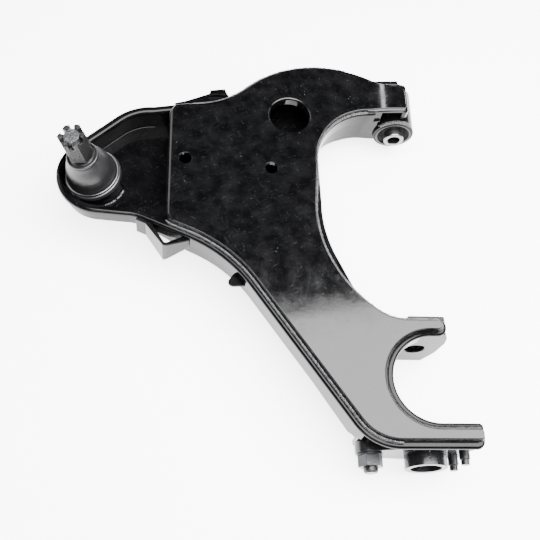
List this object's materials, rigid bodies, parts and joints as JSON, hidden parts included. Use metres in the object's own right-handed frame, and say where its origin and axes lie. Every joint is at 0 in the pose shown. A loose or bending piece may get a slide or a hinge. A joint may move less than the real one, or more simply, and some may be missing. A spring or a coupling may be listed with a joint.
{
  "type": "lower control arm",
  "caption": "Welded box-section lower control arm with a sealed ball joint, a front rubber bush and a rear fork carrying a bolted torsion bar anchor.",
  "frame": {"origin": "centre of the front bush, on the pivot axis", "axes": "+Y along the pivot axis towards the front bush end, +Z out of the top plate, the ball joint on the -X side"},
  "size_m": [0.407, 0.4388, 0.142],
  "materials": {
    "black_paint": "gloss black paint over pressed and welded steel",
    "forged_paint": "thin black coating over forged and machined steel",
    "dark_steel": "dark phosphate finish on fasteners",
    "bare_steel": "bright machined steel",
    "rubber": "matt black rubber",
    "boot_rubber": "satin grey-black boot rubber",
    "seat_plastic": "natural acetal"
  },
  "bodies": {
    "arm": {"upper_plate": "black_paint", "lower_pan": "black_paint", "bush_saddle": "black_paint", "box_rib": "black_paint", "front_bush_tube": "black_paint", "bush_outer_shell": "dark_steel", "bush_rubber": "rubber", "fork_ear": "black_paint", "fork_ear_inner": "black_paint", "ear_spacer": "black_paint", "rear_wall_plate": "black_paint", "torsion_anchor": "forged_paint", "anchor_bolt": "dark_steel", "anchor_nut": "dark_steel", "anchor_washer": "dark_steel", "small_bolts": "dark_steel", "small_washers": "dark_steel", "link_bracket": "black_paint", "hose_tab": "black_paint", "stop_bracket": "black_paint", "joint_socket_ring": "black_paint", "joint_housing": "forged_paint", "joint_end_cap": "forged_paint", "pressure_disc": "bare_steel", "lower_seat": "seat_plastic", "upper_seat": "seat_plastic", "boot_clamp_ring": "bare_steel"},
    "bush_sleeve": {"bush_inner_sleeve": "bare_steel"},
    "boot": {"dust_boot": "boot_rubber"},
    "boot_collar": {"boot_top_ring": "boot_rubber"},
    "stud": {"ball_stud": "bare_steel", "castle_nut": "dark_steel"}
  },
  "joints": [
    {"name": "front_bush_twist", "type": "hinge", "parent": "arm", "child": "bush_sleeve", "pos_m": [0, 0, 0], "axis": [0, 1, 0], "range_deg": [-25, 25], "stiffness_Nm_per_rad": 20},
    {"name": "stud_swing_along", "type": "hinge", "parent": "arm", "child": "boot", "pos_m": [-0.324, -0.113, 0.022], "axis": [0, 1, 0], "range_deg": [-18, 18], "deforming": ["dust_boot"]},
    {"name": "stud_swing_across", "type": "hinge", "parent": "boot", "child": "boot_collar", "pos_m": [-0.324, -0.113, 0.022], "axis": [0.9781, 0, 0.2079], "range_deg": [-18, 18]},
    {"name": "stud_spin", "type": "hinge", "parent": "boot_collar", "child": "stud", "pos_m": [-0.324, -0.113, 0.022], "axis": [-0.2079, 0, 0.9781], "continuous": true}
  ]
}
